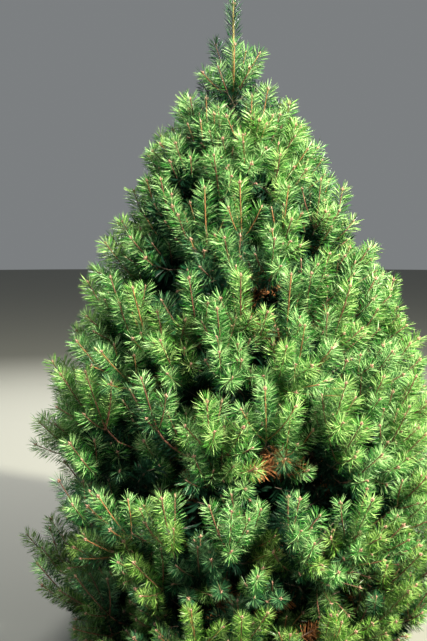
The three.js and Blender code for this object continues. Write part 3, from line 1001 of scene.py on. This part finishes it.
def bark_skin(pile, path, radii, sides, relief, lobes):
    """A limb's skin, cracked along its length and flaky across it."""
    points, faces = tube(path, radii, sides)
    rings = points[:-1].reshape(len(path), sides, 3)
    outward = unit(rings - path[:, None])
    for i in range(len(path)):
        for j in range(sides):
            place = rings[i, j]
            cracks = abs(noise.noise(Vector(place * CRACK_SCALE)))
            flakes = noise.noise(Vector(place * FLAKE_SCALE))
            push = relief[i] * (CRACK_SHARE * (PLATE_WIDTH - cracks) + FLAKE_SHARE * flakes)
            lobe = lobes[i] * math.cos(ROOT_LOBES * TURN * j / sides)
            rings[i, j] = place + outward[i, j] * (push + lobe)
    rings[0, :, 2] = np.maximum(rings[0, :, 2], 0)
    points[:-1] = rings.reshape(-1, 3)
    foot = np.arange(sides)
    centre = len(points)
    points = np.concatenate([points, path[:1]])
    cap = np.stack([np.roll(foot, -1), foot, np.full(sides, centre)], 1)
    pile.add(points, np.concatenate([faces, cap]), 0)


def trunk_skin():
    """The trunk with its flare and lobes, and a slight swelling at each whorl."""
    heights = TRUNK_TIP_AT * np.linspace(0, 1, TRUNK_RINGS) ** RINGS_CROWD_DOWN
    path = np.array([trunk_axis(z) for z in heights])
    flare = np.exp(-heights / ROOT_FLARE_HEIGHT)
    swell = np.zeros_like(heights)
    for layer in range(TOP_WHORL + 1):
        swell += NODE_SWELL * np.exp(-(((heights - whorl_height(layer)) / NODE_SPAN) ** 2))
    radii = np.array([trunk_radius(z) for z in heights]) * (1 + ROOT_FLARE * flare) * (1 + swell)
    relief = np.interp(heights, TRUNK_RELIEF_AT, TRUNK_RELIEF)
    pile = Pile()
    bark_skin(pile, path, radii, TRUNK_SIDES, relief, -ROOT_LOBE * flare * radii)
    return pile


def bough_skins(masses):
    """All the boughs, each with a collar where it leaves the trunk."""
    pile = Pile()
    for mass in masses:
        if not mass.has_bough:
            continue
        path = curve(bough_controls(mass), BOUGH_RINGS)
        thick = BOUGH_TO_TRUNK * trunk_radius(whorl_height(mass.layer))
        root = max(thick, BOUGH_TIP_RADIUS + BOUGH_LEAST_TAPER)
        shares = np.linspace(0, 1, BOUGH_RINGS)
        collar = 1 + COLLAR * np.exp(-length_of(path) * shares / COLLAR_SPAN)
        radii = mix(root, BOUGH_TIP_RADIUS, shares) * collar
        relief = mix(BOUGH_RELIEF[0], BOUGH_RELIEF[1], shares)
        bark_skin(pile, path, radii, BOUGH_SIDES, relief, np.zeros(BOUGH_RINGS))
    return pile


# Finishes


class Value:
    """A socket that holds a number, so that shader maths reads as plain sums."""

    def __init__(self, finish, socket):
        self.finish = finish
        self.socket = socket

    def _sum(self, operation, *terms):
        socket = self.finish.node("ShaderNodeMath", {"operation": operation}, dict(enumerate(terms)))
        return Value(self.finish, socket)

    def __add__(self, other):
        return self._sum("ADD", self, other)

    def __sub__(self, other):
        return self._sum("SUBTRACT", self, other)

    def __rsub__(self, other):
        return self._sum("SUBTRACT", other, self)

    def __mul__(self, other):
        return self._sum("MULTIPLY", self, other)

    __radd__ = __add__
    __rmul__ = __mul__


class Finish:
    """One material and its nodes."""

    def __init__(self, name, colour, **constants):
        self.material = bpy.data.materials.new(name)
        self.material.use_nodes = True
        self.tree = self.material.node_tree
        self.shader = self.tree.nodes["Principled BSDF"]
        self.shader.inputs["Base Color"].default_value = (*colour, 1)
        self.material.diffuse_color = (*colour, 1)
        for socket, value in constants.items():
            self.shader.inputs[socket.replace("_", " ")].default_value = value

    def link(self, value, socket):
        source = value.socket if isinstance(value, Value) else value
        if isinstance(source, bpy.types.NodeSocket):
            self.tree.links.new(source, socket)
        else:
            socket.default_value = source

    def node(self, kind, settings, inputs, output=0):
        """A node with its settings, then its sockets, and the output that is asked for."""
        made = self.tree.nodes.new(kind)
        for name, value in settings.items():
            setattr(made, name, value)
        for key, value in inputs.items():
            self.link(value, made.inputs[key])
        return made.outputs[output]

    def value(self, *node):
        return Value(self, self.node(*node))

    def blend(self, share, first, second):
        """One colour turning into another by a share, on the colour sockets of a Mix node."""
        sockets = {0: share, 6: first, 7: second}
        return self.node("ShaderNodeMix", {"data_type": "RGBA"}, sockets, 2)

    def rise(self, value, low, high, way="LINEAR"):
        """0 up to low, 1 from high on."""
        sockets = {0: value, 1: low, 2: high, 3: 0.0, 4: 1.0}
        return self.value("ShaderNodeMapRange", {"interpolation_type": way}, sockets)


def bark_finish(name, dark, plate, young, young_from, young_to):
    """Cracked bark that turns smooth and orange-brown towards the tree's top."""
    f = Finish(name, plate, Roughness=0.9)
    place = f.node("ShaderNodeTexCoord", {}, {}, "Object")
    height = f.value("ShaderNodeSeparateXYZ", {}, {0: place}, "Z")
    stretched = f.node("ShaderNodeVectorMath", {"operation": "MULTIPLY"}, {0: place, 1: CRACK_SCALE})
    cracks = f.value("ShaderNodeTexNoise", {}, {"Vector": stretched, "Scale": 1.0, "Detail": 5.0})
    fine = f.value("ShaderNodeTexNoise", {}, {"Vector": place, "Scale": 420.0, "Detail": 3.0})
    flakes = f.value("ShaderNodeTexVoronoi", {}, {"Vector": stretched, "Scale": 1.6})
    age = f.rise(height + 0.25 * (cracks - 0.5), young_from, young_to, "SMOOTHSTEP")
    depth = f.rise(cracks + 0.25 * flakes, 0.45, 0.75)
    old = f.blend(depth * (0.6 + 0.6 * fine), (*dark, 1), (*plate, 1))
    smooth = f.blend(flakes * (0.5 + fine), (*young, 1), (*(c * 0.55 for c in young), 1))
    f.link(f.blend(age, old, smooth), f.shader.inputs["Base Color"])
    f.link(0.95 - 0.25 * age - 0.1 * fine, f.shader.inputs["Roughness"])
    relief = (cracks + 0.3 * fine + 0.3 * flakes) * (1 - 0.6 * age)
    bump = f.node("ShaderNodeBump", {}, {"Height": relief, "Strength": 0.6, "Distance": 0.003})
    f.link(bump, f.shader.inputs["Normal"])
    return f.material


def needle_finishes():
    """Plain greens for each of LIGHTS and ZONES, in their order, as lit and shaded copies of the needles'
    green that paint light and shade, then old needles near black, partly painted shade, and dead needles.
    """
    # Painted light: sunlit, half lit and shaded copies of one green; the low copies yellower, as if lit by
    # light thrown up from the ground; the tufts paler, partly by painted highlight
    colours = {
        "shade_foot": (0.006, 0.030, 0.014),
        "shade_middle": (0.009, 0.070, 0.024),
        "shade_tuft": (0.085, 0.185, 0.070),
        "cool_foot": (0.011, 0.056, 0.017),
        "cool_middle": (0.034, 0.166, 0.024),
        "cool_tuft": (0.265, 0.455, 0.165),
        "warm_foot": (0.026, 0.088, 0.016),
        "warm_middle": (0.068, 0.235, 0.031),
        "warm_tuft": (0.325, 0.510, 0.160),
        "olive_foot": (0.018, 0.056, 0.010),
        "olive_middle": (0.048, 0.142, 0.012),
        "olive_tuft": (0.210, 0.345, 0.080),
        "dim_foot": (0.010, 0.032, 0.007),
        "dim_middle": (0.020, 0.072, 0.009),
        "dim_tuft": (0.095, 0.180, 0.045),
        "old": (0.004, 0.018, 0.009),
        "dead": (0.300, 0.130, 0.050),
    }
    gloss = {"foot": 0.18, "middle": 0.18, "tuft": 0.35, "old": 0.06, "dead": 0.06}
    finishes = []
    for name, colour in colours.items():
        shine = gloss[name.split("_")[-1]]
        finishes.append(Finish(f"needles_{name}", colour, Roughness=0.4, Specular_IOR_Level=shine))
    return [finish.material for finish in finishes]


def wood_finishes():
    colours = {"golden": (0.28, 0.125, 0.045), "brown": (0.14, 0.052, 0.030), "grey": (0.10, 0.066, 0.045)}
    return [Finish(f"twig_{wood}", colours[wood], Roughness=0.7).material for wood in WOODS]


def bud_finish():
    return Finish("bud_scales", (0.36, 0.20, 0.14), Roughness=0.6).material


# The tree

LAYER_SEED = 4000

masses = all_masses()
needle_materials = needle_finishes()
wood_materials = wood_finishes()
bud_material = bud_finish()

for index in range(TOP_WHORL + 1):
    layer = Layer(LAYER_SEED + index)
    whorl = [mass for mass in masses if mass.layer == index]
    for mass in whorl:
        grow_mass(layer, mass)
    if index == TOP_WHORL:
        grow_top(layer)
        replaced = [f"top_shoot_{i + 1}" for i in range(TOP_SHOOTS)] + ["leader_needles"]
    else:
        replaced = [f"foliage_{index + 1}_{mass.number}" for mass in whorl]
    twigs = layer.twigs.piece(f"twigs_{index + 1}", wood_materials, smooth=True)
    buds = layer.buds.piece(f"buds_{index + 1}", [bud_material], smooth=True)
    dressed = [(twigs, "bark"), (buds, "young_shoots")]
    for side, pile in layer.sides.items():
        if pile.count:
            dressed.append((pile.piece(f"needles_{index + 1}_{side}", needle_materials), "needles"))
    for piece, slot in dressed:
        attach(piece, "root")
        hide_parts(*replaced)

trunk_material = bark_finish(
    "trunk_bark",
    dark=(0.035, 0.024, 0.018),
    plate=(0.20, 0.135, 0.095),
    young=(0.30, 0.235, 0.065),
    young_from=0.9,
    young_to=1.9,
)
bough_material = bark_finish(
    "bough_bark",
    dark=(0.04, 0.027, 0.02),
    plate=(0.19, 0.12, 0.08),
    young=(0.30, 0.14, 0.055),
    young_from=0.9,
    young_to=1.8,
)
trunk = trunk_skin().piece("trunk_bark", [trunk_material], smooth=True)
boughs = bough_skins(masses).piece("bough_bark", [bough_material], smooth=True)
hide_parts("trunk")
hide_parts(*[f"bough_{mass.layer + 1}_{mass.number}" for mass in masses if mass.has_bough])
for piece in (trunk, boughs):
    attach(piece, "root")


# Studio: a pale floor, soft light from the upper right, and the camera

CAMERA_HEIGHT = 1.509
CAMERA_AWAY = 3.327
CAMERA_ASIDE = -0.085
LOOKS_DOWN = math.radians(5.36)
LENS = 49.4
SENSOR_WIDTH = 36
LIGHTS_AIM_AT = 1.1
FLOOR_BELOW = 0.002
FLOOR_RADIUS = 40


def studio():
    """The floor, the world's light and three lamps."""
    place = (0, 0, -FLOOR_BELOW)
    bpy.ops.mesh.primitive_circle_add(vertices=64, radius=FLOOR_RADIUS, fill_type="NGON", location=place)
    floor = bpy.context.object
    floor.name = "floor"
    floor.data.materials.append(Finish("pale_floor", (0.22, 0.222, 0.195), Roughness=0.9).material)
    world = bpy.data.worlds.new("studio")
    bpy.context.scene.world = world
    world.use_nodes = True
    background = world.node_tree.nodes["Background"]
    background.inputs["Color"].default_value = (0.92, 0.97, 1.0, 1)
    background.inputs["Strength"].default_value = 0.22
    soft_light("key", place=(3.8, -4.0, 5.5), size=0.6, power=2550, colour=(1.0, 0.96, 0.80))
    soft_light("fill", place=(-4.6, -3.6, 3.2), size=2.5, power=100, colour=(0.76, 0.93, 1.0))
    soft_light("back", place=(-1.5, 5.5, 4.5), size=3.0, power=600, colour=(1.0, 0.98, 0.95))
    bpy.context.scene.view_settings.view_transform = "Standard"


def soft_light(name, place, size, power, colour):
    lamp = bpy.data.lights.new(name, "AREA")
    lamp.shape = "DISK"
    lamp.size = size
    lamp.energy = power
    lamp.color = colour
    light = bpy.data.objects.new(name, lamp)
    light.location = place
    aim = Vector((0, 0, LIGHTS_AIM_AT)) - Vector(place)
    light.rotation_euler = aim.to_track_quat("-Z", "Y").to_euler()
    bpy.context.scene.collection.objects.link(light)


def camera():
    view = bpy.data.cameras.new("camera")
    view.lens = LENS
    view.sensor_width = SENSOR_WIDTH
    view.clip_start = 0.05
    view.clip_end = 200
    eye = bpy.data.objects.new("camera", view)
    eye.location = (CAMERA_ASIDE, -CAMERA_AWAY, CAMERA_HEIGHT)
    eye.rotation_euler = (math.pi / 2 - LOOKS_DOWN, 0, 0)
    bpy.context.scene.collection.objects.link(eye)
    bpy.context.scene.camera = eye


studio()
camera()

bpy.context.view_layer.update()
